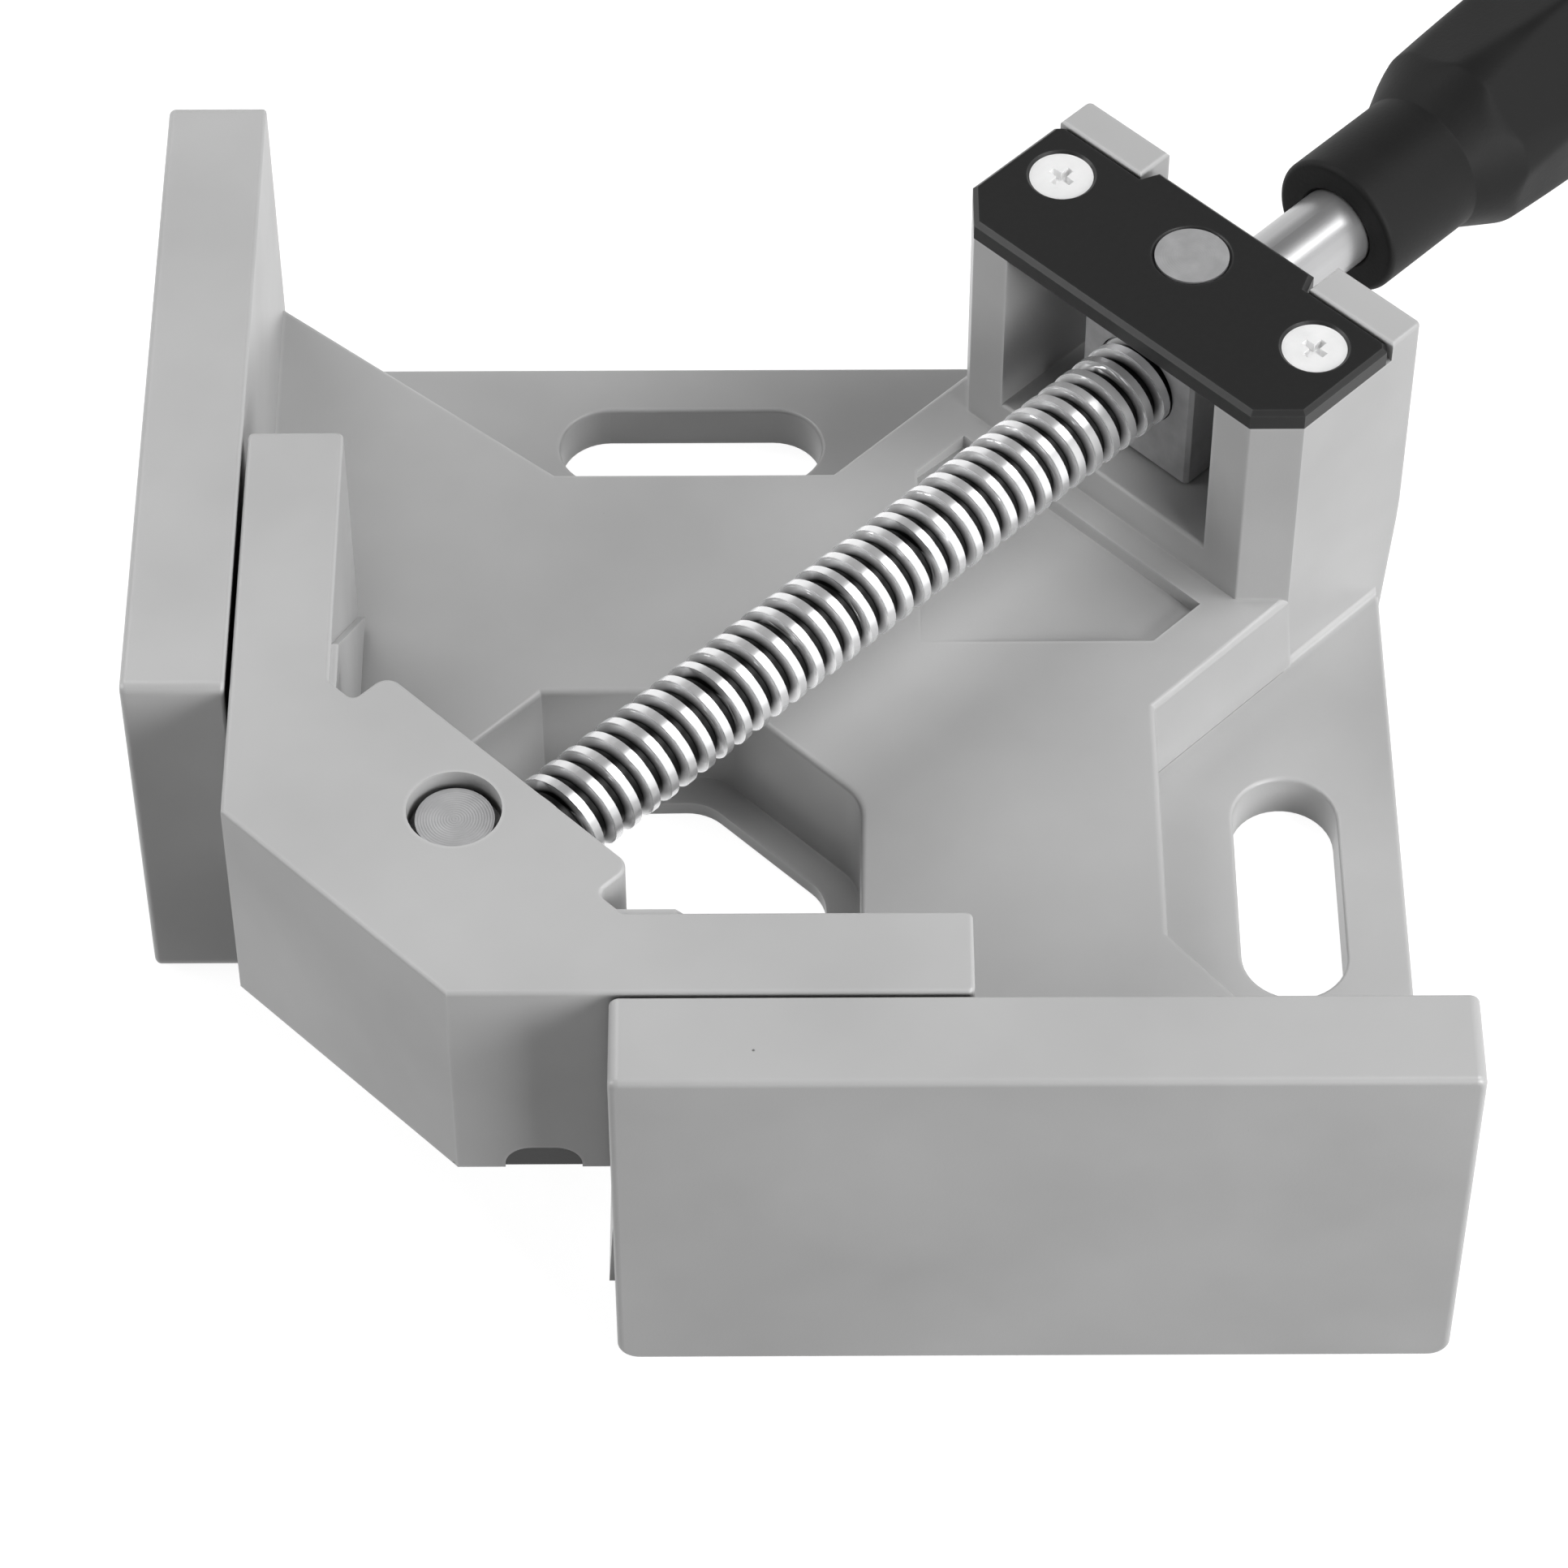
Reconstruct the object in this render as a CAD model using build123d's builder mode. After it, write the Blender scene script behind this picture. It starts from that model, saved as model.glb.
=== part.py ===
from build123d import *
from math import radians, sqrt, tan
import os

# Corner clamp: a cast corner with two fixed jaws, and a V-shaped moving jaw fed by a lead screw.
# Millimetres. X runs along the screw from the work corner towards the handle, +Y is on the left
# of the screw seen from the corner, and Z is up from the underside. The work corner is the line
# where the faces of the two fixed jaws would meet. Every place is measured from it, and the
# finished pieces then move together, so that the origin lies midway between the two slots.

# From the work corner to the origin, along the screw
corner_to_origin = 124.8

# Fixed jaws
jaw_near = 44.4  # from the work corner to the near end of each fixed jaw
jaw_length = 95.0
jaw_thickness = 12.0
jaw_top = 52.4
jaw_foot_round = 2.5
jaw_head_round = 1.2

# Rounding of the castings' edges, and the broken edges of machined pieces
cast_round = 0.8
fine_round = 0.5
edge_break = 0.5

# Deck between the jaws
deck_top = 18.5
deck_nose = 45.0  # from the work corner to the deck's front edge, along the screw
deck_reach = 137.5  # along each jaw, where the deck's outer edge meets the jaw
deck_waist_start = 35.2
deck_draft = 3.5
deck_wall = 5.0
deck_skin = 5.0
rib_width = 3.0
rib_pitch = 23.0
rib_first = 22.0
smallest_pocket = 60.0

# Flanges and their slots
flange_top = 6.1
flange_ledge = 0.05  # from the foot of the deck's side to the flange's outer edge
flange_width = 29.8  # from the flange's outer edge to its inner edge, where the deck begins
flange_lap = 16.5  # how far the flange runs on below the deck
slot_width = 12.6
slot_length = 33.5
slot_margin = 7.5  # from the slot to the flange's outer edge
slot_middle = 52.0  # from the jaw face to the slot's centre

# Window through the deck
window_front = 52.0
window_half_width = 27.0
window_shoulder = 75.6
window_end = 91.0
window_end_half_width = 12.0
window_end_round = 6.0
window_round = 1.5
window_lip = 4.0
window_lip_height = 2.0

# Sloped pocket in the deck before the post
pocket_tip = 113.8
pocket_shoulder = 133.8
pocket_flat = 8.4  # from the pocket's shoulder to its back
pocket_half_width = 20.0
pocket_depth = 1.4

# Screw post
post_front = 145.8
post_back = 171.4
post_half_width = 27.2
post_corner = 4.6
post_flange_half_width = 28.0
post_heel = 2.6
post_heel_height = 25.0
cavity_floor = 23.8
cavity_half_width = 17.0
rear_wall = 5.3
rear_gap_half_width = 13.8
seat_height = 49.1

# Cover plate and its screws
cover_thickness = 2.7
cover_bevel = 0.6
cover_clearance = 0.15
cover_tail = 2.4
cover_tail_half_width = 12.6
cover_rear_cut = 0.9
cover_screw_x = 159.3
cover_screw_y = 20.7
cover_screw_head = 3.95
cover_screw_radius = 2.0
cover_screw_sink = 0.3
cover_screw_length = 12.0
recess_length = 3.4
recess_width = 0.9
recess_depth = 1.3

# Swivel nut
nut_x = 160.3
nut_size = 18.0
nut_end_clearance = 0.3
trunnion_radius = 4.55
lower_trunnion = 6.0
trunnion_rim = 0.4

# Lead screw
screw_height = 36.8
thread_radius = 5.9
thread_pitch = 3.0
thread_depth = 1.25
thread_root = 0.8
thread_mouth = 1.9
thread_end = 173.0
thread_clearance = 0.1
shank_radius = 5.3
journal_radius = 4.0
journal_end = 27.6
ring_groove_radius = 3.3

# Moving jaw
closed_gap = 0.6
arm_reach = 84.4
arm_thickness = 11.3
nose_cut = 26.0
moving_jaw_height = 32.0
body_back = 46.2
body_half_width = 20.0
notch_front = 40.8
arm_end_round = 0.8
body_round = 2.0
notch_round = 1.0
arm_web_thickness = 0.8
arm_web_top = 51.6  # along the arm, where the web's slope begins
arm_web_foot = 83.4
jaw_head_thickness = 8.0
inside_half_width = 12.0
inside_front = 26.8
inside_back = 41.2
inside_window_half_width = 8.6
inside_window_back = 47.0
arch_start = 32.0
arch_width = 8.7
arch_height = 3.6
arch_depth = 2.5
arch_round = 3.0
pin_recess_radius = 5.4
pin_recess_depth = 3.8

# Pivot block inside the moving jaw
pivot_x = 37.8
block_size = 14.0
pin_radius = 4.5
pin_drop = 1.8

# Retaining ring and thrust washer
ring_thickness = 1.0
ring_radius = 6.0
washer_thickness = 1.2
washer_radius = 5.9

# Bottom plate
plate_thickness = 3.2
plate_stand_proud = 1.5
plate_slide_gap = 0.2
plate_inset = 1.4
plate_reach = 46.5
plate_clearance = 0.15
plate_screw_x = 41.5
plate_screw_y = 6.6
plate_nose_screw = 23.8
plate_screw_radius = 1.5
plate_screw_head = 2.75
plate_screw_length = 8.0

# Handle
handle_mouth = 188.0
handle_length = 96.0
collar_radius = 9.8
collar_length = 16.0
mouth_round = 0.8
neck_round = 0.8
shoulder_length = 6.5
shoulder_round = 2.0
grip_radius = 14.1
grip_swell = 1.6  # how much thinner the barrel is where it begins
grip_swell_end = 65.0  # from the handle's mouth
tail_round = 8.5
flat_distance = 11.9
flat_start = 20.5
flat_end_margin = 11.0
flat_turn = 9.0
shank_depth = 55.0

# Fits
running_fit = 0.05
seat_fit = 0.05
small_gap = 0.1

# How near to a place an edge lies when it is picked by that place
pick_slack = 0.01

# Heights and places that follow from the sizes above
jaw_underside = deck_top + plate_slide_gap + plate_stand_proud
moving_jaw_top = jaw_underside + moving_jaw_height
plate_underside = jaw_underside - plate_stand_proud
jaw_tuck = 2 * fine_round
pocket_back = pocket_shoulder + pocket_flat
deck_spread = (deck_top - flange_top) * tan(radians(deck_draft))
flange_reach = deck_reach + deck_spread + flange_ledge
deck_waist = flange_reach - flange_width
flange_root = deck_waist - flange_lap
plate_upper_face = plate_underside + plate_thickness
inside_top = moving_jaw_top - jaw_head_thickness
cover_top = seat_height + cover_thickness
cover_back = post_back - rear_wall - cover_clearance
cover_screw_face = cover_top - cover_screw_sink
cover_screw_tip = cover_screw_face - cover_screw_length
slot_along = flange_reach - slot_margin - slot_width / 2
block_front = pivot_x - block_size / 2
block_back = pivot_x + block_size / 2
washer_front = block_back + small_gap
thread_start = washer_front + washer_thickness + small_gap
ring_front = block_front - small_gap - ring_thickness
pin_top = moving_jaw_top - pin_drop
nut_bottom = cavity_floor + nut_end_clearance
nut_top = seat_height - nut_end_clearance
handle_end = handle_mouth + handle_length

# Sketch planes: one with its X along the right jaw and its Y along the left jaw, and one that
# looks down, so that a draft opens towards the floor
jaw_axes = Plane(origin=(0, 0, 0), x_dir=(1, -1, 0), z_dir=(0, 0, 1))
deck_face = Plane(origin=(0, 0, deck_top), x_dir=(1, 0, 0), z_dir=(0, 0, -1))
screw_line = Axis((0, 0, screw_height), (1, 0, 0))
screw_section = Plane(origin=(0, 0, screw_height), x_dir=(1, 0, 0), z_dir=(0, -1, 0))


def from_jaws(along_right, along_left):
    """Turn distances along the right and the left jaw into X and Y."""
    return ((along_right + along_left) / sqrt(2), (along_left - along_right) / sqrt(2))


def edges_at(edge_list, axis, place):
    """The edges that have their middle at one place along an axis."""
    return edge_list.filter_by_position(axis, place - pick_slack, place + pick_slack)


def cross_screw(x, y, z_face, up, length, radius, head_radius):
    """A countersunk screw with a cross recess; up is 1 when its head faces up."""
    face = Plane(origin=(x, y, z_face), x_dir=(1, 0, 0), z_dir=(0, 0, up))
    with BuildPart() as screw:
        with BuildSketch(face):
            Circle(head_radius)
        extrude(amount=-(head_radius - radius), taper=45)
        with BuildSketch(face):
            Circle(radius)
        extrude(amount=-length)
        with BuildSketch(face):
            Rectangle(recess_length * head_radius / cover_screw_head, recess_width)
            Rectangle(recess_width, recess_length * head_radius / cover_screw_head)
        extrude(amount=-recess_depth, mode=Mode.SUBTRACT)
    return screw.part


# The right fixed jaw, with its inner face on the jaw line; the casting holds it and its mirror image
right_jaw_back = Plane(
    origin=from_jaws(jaw_near + jaw_length / 2, -jaw_thickness) + (jaw_top / 2,),
    x_dir=(1, -1, 0),
    z_dir=(-1, -1, 0),
)
with BuildPart() as right_fixed_jaw:
    with BuildSketch(right_jaw_back):
        Rectangle(jaw_length, jaw_top)
        fillet(vertices().group_by(Axis.Y)[0], jaw_foot_round)
        fillet(vertices().group_by(Axis.Y)[-1], jaw_head_round)
    extrude(amount=-jaw_thickness)
    across_jaw = Axis((0, 0, 0), (1, 1, 0))
    fillet(faces().sort_by(across_jaw)[0].edges(), cast_round)
    fillet(faces().sort_by(across_jaw)[-1].edges(), fine_round)

# Body casting: deck, flanges, fixed jaws and screw post in one
window_outline = [
    (window_front, window_half_width),
    (window_shoulder, window_half_width),
    (window_end, window_end_half_width),
    (window_end, -window_end_half_width),
    (window_shoulder, -window_half_width),
    (window_front, -window_half_width),
]
waist_end = deck_waist - post_half_width * sqrt(2)

with BuildPart() as body_casting:
    with BuildSketch(deck_face):
        with BuildLine():
            Polyline(
                (deck_nose, 0),
                from_jaws(jaw_near, deck_nose * sqrt(2) - jaw_near),
                from_jaws(jaw_near, -jaw_thickness / 2),
                from_jaws(deck_reach, -jaw_thickness / 2),
                from_jaws(deck_reach, 0),
                from_jaws(deck_waist, deck_waist_start),
                from_jaws(deck_waist, waist_end),
                (post_front + post_corner, -post_half_width),
                (post_front + post_corner, 0),
            )
            mirror(about=Plane.XZ)
        make_face()
    extrude(amount=deck_top, taper=-deck_draft)
    deck_rim = faces().sort_by(Axis.Z)[-1].edges()
    fillet(deck_rim.filter_by(lambda edge: edge.center().X < post_front), cast_round)

    # The deck stops just inside the jaws, past their rounded edges
    with BuildSketch(jaw_axes):
        with Locations((0, -jaw_tuck)):
            Rectangle(2 * deck_reach, 2 * jaw_thickness, align=(Align.MIN, Align.MAX))
        with Locations((-jaw_tuck, 0)):
            Rectangle(2 * jaw_thickness, 2 * deck_reach, align=(Align.MAX, Align.MIN))
    extrude(amount=deck_top, mode=Mode.SUBTRACT)

    # Flanges
    flange_inner = flange_root - post_flange_half_width * sqrt(2)
    flange_outer = flange_reach - post_flange_half_width * sqrt(2)
    with BuildSketch(Plane.XY):
        with BuildLine():
            Polyline(
                from_jaws(flange_root, -jaw_tuck),
                from_jaws(flange_reach, -jaw_tuck),
                from_jaws(flange_reach, flange_outer),
                from_jaws(flange_root, flange_inner),
                close=True,
            )
        make_face()
        mirror(about=Plane.XZ)
    extrude(amount=flange_top)
    flange_edge_x = from_jaws(flange_reach, (flange_outer - jaw_tuck) / 2)[0]
    fillet(edges_at(edges_at(edges(), Axis.Z, flange_top), Axis.X, flange_edge_x), fine_round)

    # Screw post
    with BuildSketch():
        with BuildLine():
            Polyline(
                (post_front, 0),
                (post_front, post_half_width - post_corner),
                (post_front + post_corner, post_half_width),
                (post_back, post_half_width),
                (post_back, 0),
            )
            mirror(about=Plane.XZ)
        make_face()
        fillet(vertices().group_by(Axis.X)[-1], cast_round)
        fillet(vertices().group_by(Axis.X)[0], fine_round)
    extrude(amount=seat_height)

    # Rear lips beside the cover plate
    with BuildSketch(Plane.XY.offset(seat_height)):
        with Locations((post_back, rear_gap_half_width)):
            Rectangle(
                rear_wall,
                post_half_width - rear_gap_half_width,
                align=(Align.MAX, Align.MIN),
            )
        fillet(vertices().group_by(Axis.X)[-1].sort_by(Axis.Y)[-1], cast_round)
        mirror(about=Plane.XZ)
    extrude(amount=cover_thickness)
    fillet(faces().group_by(Axis.Z)[-1].edges(), fine_round)

    # Cavity for the nut, open to the front, to the back between the lips, and above
    with BuildSketch(Plane.XY.offset(cavity_floor)):
        with Locations((post_front - post_corner, 0)):
            Rectangle(
                post_back - rear_wall - post_front + post_corner,
                2 * cavity_half_width,
                align=(Align.MIN, Align.CENTER),
            )
            Rectangle(
                post_back - post_front + 2 * post_corner,
                2 * rear_gap_half_width,
                align=(Align.MIN, Align.CENTER),
            )
    extrude(amount=jaw_top, mode=Mode.SUBTRACT)
    sill = edges_at(edges(Select.LAST).filter_by(Axis.Y), Axis.Z, cavity_floor)
    fillet(sill.sort_by(Axis.X)[0], fine_round)

    # The post's back leans forward towards the floor
    with BuildSketch(Plane.XZ):
        with BuildLine():
            Polyline(
                (post_back, post_heel_height),
                (post_back - post_heel, 0),
                (post_back + post_heel, 0),
                (post_back + post_heel, post_heel_height),
                close=True,
            )
        make_face()
    extrude(amount=2 * post_half_width, both=True, mode=Mode.SUBTRACT)

    # Window through the deck, with a lip left at its foot
    with BuildSketch(Plane.XY.offset(window_lip_height)):
        with BuildLine():
            Polyline(*window_outline, close=True)
        make_face()
        end_corners = vertices().group_by(Axis.X)[-1]
        fillet(end_corners, window_end_round)
        front_corners = vertices().group_by(Axis.X)[0]
        fillet(front_corners, window_round)
    extrude(amount=deck_top, mode=Mode.SUBTRACT)
    fillet(edges_at(edges(Select.LAST), Axis.Z, deck_top), cast_round)
    with BuildSketch():
        with BuildLine():
            Polyline(*window_outline, close=True)
        make_face()
        offset(amount=-window_lip, kind=Kind.INTERSECTION)
        fillet(vertices().group_by(Axis.X)[-1], window_end_round)
    extrude(amount=window_lip_height, mode=Mode.SUBTRACT)

    # Sloped pocket before the post
    pocket_fall = Vector(pocket_shoulder - pocket_tip, 0, -pocket_depth)
    pocket_floor = Plane(
        origin=(pocket_tip, 0, deck_top),
        x_dir=pocket_fall,
        z_dir=pocket_fall.cross(Vector(0, 1, 0)),
    )
    with BuildSketch(pocket_floor):
        with BuildLine():
            Polyline(
                (0, 0),
                (pocket_shoulder - pocket_tip, pocket_half_width),
                (pocket_back - pocket_tip, pocket_half_width),
                (pocket_back - pocket_tip, -pocket_half_width),
                (pocket_shoulder - pocket_tip, -pocket_half_width),
                close=True,
            )
        make_face()
    extrude(amount=2 * pocket_depth, mode=Mode.SUBTRACT)

    # Hollow underside, divided by ribs
    with BuildSketch(mode=Mode.PRIVATE) as hollow:
        with BuildLine():
            Polyline(
                (deck_nose, 0),
                from_jaws(jaw_near, deck_nose * sqrt(2) - jaw_near),
                from_jaws(jaw_near, 0),
                from_jaws(deck_reach, 0),
                from_jaws(deck_waist, deck_waist_start),
                from_jaws(deck_waist, waist_end),
                (post_front + post_corner, -post_half_width),
                (post_back - post_heel, -post_half_width),
                (post_back - post_heel, 0),
            )
            mirror(about=Plane.XZ)
        make_face()
        offset(amount=-deck_wall, kind=Kind.INTERSECTION)
        with BuildLine():
            Polyline(*window_outline, close=True)
        make_face(mode=Mode.SUBTRACT)
        with BuildLine():
            offset(Polyline(*window_outline, close=True, mode=Mode.PRIVATE), amount=deck_wall)
        make_face(mode=Mode.SUBTRACT)
        rib_count = int((deck_reach - rib_first) / rib_pitch) + 1
        for rib in range(rib_count):
            place = rib_first + rib * rib_pitch
            with Locations(Location(from_jaws(place, 0) + (0,), (0, 0, 45))):
                Rectangle(4 * deck_reach, rib_width, mode=Mode.SUBTRACT)
            with Locations(Location(from_jaws(0, place) + (0,), (0, 0, -45))):
                Rectangle(4 * deck_reach, rib_width, mode=Mode.SUBTRACT)
    pockets = [face for face in hollow.sketch.faces() if face.area > smallest_pocket]
    extrude(to_extrude=pockets, amount=deck_top - deck_skin, dir=(0, 0, 1), mode=Mode.SUBTRACT)

    # The two fixed jaws
    add(right_fixed_jaw.part)
    mirror(right_fixed_jaw.part, about=Plane.XZ)

    # Slots through the flanges
    with BuildSketch():
        with Locations(Location(from_jaws(slot_along, slot_middle) + (0,), (0, 0, 45))):
            SlotOverall(slot_length, slot_width)
        mirror(about=Plane.XZ)
    extrude(amount=flange_top, mode=Mode.SUBTRACT)
    fillet(edges_at(edges(Select.LAST), Axis.Z, flange_top), fine_round)

    # Bore for the nut's lower trunnion, and the cover screws' holes
    with Locations((nut_x, 0, cavity_floor)):
        Hole(trunnion_radius + running_fit, depth=lower_trunnion + small_gap)
    with Locations(
        (cover_screw_x, cover_screw_y, seat_height),
        (cover_screw_x, -cover_screw_y, seat_height),
    ):
        Hole(cover_screw_radius + seat_fit, depth=seat_height - cover_screw_tip + small_gap)

body_casting.part.label = "body_casting"

# Cover plate on the post
with BuildPart() as post_cover_plate:
    with BuildSketch(Plane.XY.offset(seat_height)):
        with BuildLine():
            Polyline(
                (post_front, 0),
                (post_front, post_half_width - post_corner),
                (post_front + post_corner, post_half_width),
                (cover_back - cover_rear_cut, post_half_width),
                (cover_back, post_half_width - cover_rear_cut),
                (cover_back, rear_gap_half_width - cover_clearance),
                (cover_back + cover_tail, cover_tail_half_width),
                (cover_back + cover_tail, 0),
            )
            mirror(about=Plane.XZ)
        make_face()
    extrude(amount=cover_thickness)
    chamfer(faces().sort_by(Axis.Z)[-1].outer_wire().edges(), cover_bevel)
    with Locations((nut_x, 0, cover_top)):
        CounterSinkHole(
            radius=trunnion_radius + running_fit,
            counter_sink_radius=trunnion_radius + running_fit + trunnion_rim,
            counter_sink_angle=90,
        )
    with Locations(
        (cover_screw_x, cover_screw_y, cover_top),
        (cover_screw_x, -cover_screw_y, cover_top),
    ):
        CounterSinkHole(
            radius=cover_screw_radius + seat_fit,
            counter_sink_radius=cover_screw_head + seat_fit + cover_screw_sink,
            counter_sink_angle=90,
        )
post_cover_plate.part.label = "post_cover_plate"

# The two screws of the cover plate
with BuildPart() as cover_plate_screws:
    for side in (1, -1):
        add(
            cross_screw(
                cover_screw_x,
                side * cover_screw_y,
                cover_screw_face,
                1,
                cover_screw_length,
                cover_screw_radius,
                cover_screw_head,
            )
        )
cover_plate_screws.part.label = "cover_plate_screws"

# Swivel nut with a trunnion above and below
with BuildPart() as swivel_nut:
    with BuildSketch(Plane.XY.offset(nut_bottom)):
        with Locations((nut_x, 0)):
            Rectangle(nut_size, nut_size)
    extrude(amount=nut_top - nut_bottom)
    chamfer(edges(), edge_break)
    with BuildSketch(Plane.XY.offset(cavity_floor - lower_trunnion)):
        with Locations((nut_x, 0)):
            Circle(trunnion_radius)
    extrude(amount=cover_top - cavity_floor + lower_trunnion)
    with BuildSketch(Plane.YZ.offset(nut_x - nut_size)):
        with Locations((0, screw_height)):
            Circle(thread_radius + thread_clearance)
    extrude(amount=2 * nut_size, mode=Mode.SUBTRACT)
swivel_nut.part.label = "swivel_nut"

# Lead screw: journal with a ring groove, thread, shank and the end inside the handle
with BuildPart() as lead_screw:
    ring_groove_start = ring_front - small_gap
    ring_groove_end = block_front - small_gap / 2
    shank_end = handle_mouth + shank_depth
    with BuildSketch(screw_section):
        with BuildLine():
            Polyline(
                (journal_end, 0),
                (journal_end, journal_radius - edge_break),
                (journal_end + edge_break, journal_radius),
                (ring_groove_start, journal_radius),
                (ring_groove_start, ring_groove_radius),
                (ring_groove_end, ring_groove_radius),
                (ring_groove_end, journal_radius),
                (thread_start, journal_radius),
                (thread_start, thread_radius - edge_break),
                (thread_start + edge_break, thread_radius),
                (thread_end - edge_break, thread_radius),
                (thread_end, shank_radius),
                (shank_end - edge_break, shank_radius),
                (shank_end, shank_radius - edge_break),
                (shank_end, 0),
                close=True,
            )
        make_face()
    revolve(axis=screw_line)

    # Right-hand thread, cut as one groove from the journal's shoulder to the shank
    over = thread_depth / 4
    cut_half_mouth = thread_mouth / 2 + over * (thread_mouth - thread_root) / thread_depth / 2
    with BuildLine() as groove_path:
        groove_line = Helix(
            pitch=thread_pitch,
            height=thread_end - thread_start,
            radius=thread_radius - thread_depth,
            center=(thread_start, 0, screw_height),
            direction=(1, 0, 0),
        )
    groove_face = Plane(origin=groove_line @ 0, x_dir=(1, 0, 0), z_dir=groove_line % 0)
    with BuildSketch(groove_face):
        with BuildLine():
            Polyline(
                (-thread_root / 2, 0),
                (-cut_half_mouth, thread_depth + over),
                (cut_half_mouth, thread_depth + over),
                (thread_root / 2, 0),
                close=True,
            )
        make_face()
    sweep(path=groove_path.wires()[0], is_frenet=True, mode=Mode.SUBTRACT)
lead_screw.part.label = "lead_screw"

# Handle grip: collar, shoulder, and a barrel with six flats
with BuildPart() as handle_grip:
    collar_end = handle_mouth + collar_length
    grip_start = collar_end + shoulder_length
    swell_end = handle_mouth + grip_swell_end
    swell_radius = ((swell_end - grip_start) ** 2 + grip_swell**2) / (2 * grip_swell)
    with BuildSketch(screw_section):
        with BuildLine():
            Polyline(
                (handle_mouth, 0),
                (handle_mouth, collar_radius - mouth_round),
            )
            RadiusArc(
                (handle_mouth, collar_radius - mouth_round),
                (handle_mouth + mouth_round, collar_radius),
                mouth_round,
            )
            Polyline(
                (handle_mouth + mouth_round, collar_radius),
                (collar_end, collar_radius),
                (grip_start, grip_radius - grip_swell),
            )
            RadiusArc(
                (grip_start, grip_radius - grip_swell),
                (swell_end, grip_radius),
                swell_radius,
            )
            Polyline(
                (swell_end, grip_radius),
                (handle_end, grip_radius),
                (handle_end, 0),
                (handle_mouth, 0),
            )
        make_face()
    revolve(axis=screw_line)
    rings = edges().filter_by(GeomType.CIRCLE)
    fillet(edges_at(rings, Axis.X, collar_end), neck_round)
    rings = edges().filter_by(GeomType.CIRCLE)
    fillet(edges_at(rings, Axis.X, grip_start), shoulder_round)
    fillet(edges().filter_by(GeomType.CIRCLE).sort_by(Axis.X)[-1], tail_round)
    with BuildSketch(Plane.YZ.offset(handle_mouth + flat_start)):
        for flat in range(6):
            with Locations(Location((0, screw_height), flat * 60 + flat_turn)):
                with Locations((flat_distance, 0)):
                    Rectangle(
                        grip_radius,
                        2 * grip_radius,
                        align=(Align.MIN, Align.CENTER),
                    )
    extrude(amount=handle_length - flat_start - flat_end_margin, mode=Mode.SUBTRACT)
    with BuildSketch(Plane.YZ.offset(handle_mouth)):
        with Locations((0, screw_height)):
            Circle(shank_radius + seat_fit)
    extrude(amount=shank_depth + small_gap, mode=Mode.SUBTRACT)
handle_grip.part.label = "handle_grip"

# Pivot block: holds the screw's journal, and swivels in the moving jaw on its pin
with BuildPart() as jaw_pivot_block:
    with BuildSketch(Plane.XY.offset(screw_height - block_size / 2)):
        with Locations((pivot_x, 0)):
            Rectangle(block_size, block_size)
    extrude(amount=block_size)
    chamfer(edges(), edge_break)
    with BuildSketch(Plane.XY.offset(plate_underside + small_gap)):
        with Locations((pivot_x, 0)):
            Circle(pin_radius)
    extrude(amount=pin_top - plate_underside - small_gap)
    with BuildSketch(Plane.YZ.offset(block_front - block_size)):
        with Locations((0, screw_height)):
            Circle(journal_radius + running_fit)
    extrude(amount=3 * block_size, mode=Mode.SUBTRACT)
jaw_pivot_block.part.label = "jaw_pivot_block"

# Ring in the journal's groove, split at the bottom
with BuildPart() as screw_retaining_ring:
    with BuildSketch(Plane.YZ.offset(ring_front)):
        with Locations((0, screw_height)):
            Circle(ring_radius)
            Circle(ring_groove_radius + seat_fit, mode=Mode.SUBTRACT)
        with Locations((0, screw_height)):
            Rectangle(
                ring_groove_radius,
                2 * ring_radius,
                align=(Align.CENTER, Align.MAX),
                mode=Mode.SUBTRACT,
            )
    extrude(amount=ring_thickness)
screw_retaining_ring.part.label = "screw_retaining_ring"

# Washer between the thread's shoulder and the pivot block
with BuildPart() as screw_thrust_washer:
    with BuildSketch(Plane.YZ.offset(washer_front)):
        with Locations((0, screw_height)):
            Circle(washer_radius)
            Circle(journal_radius + running_fit, mode=Mode.SUBTRACT)
    extrude(amount=washer_thickness)
screw_thrust_washer.part.label = "screw_thrust_washer"

# Outline of the moving jaw, in distances along the right and the left jaw
inner_line = closed_gap + arm_thickness
jaw_half = [
    from_jaws(closed_gap + nose_cut, closed_gap),
    from_jaws(arm_reach, closed_gap),
    from_jaws(arm_reach, inner_line),
    (notch_front, inner_line * sqrt(2) - notch_front),
    (notch_front, -body_half_width),
    (body_back, -body_half_width),
]
jaw_nose = (closed_gap * sqrt(2) + nose_cut / sqrt(2), 0)

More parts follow.
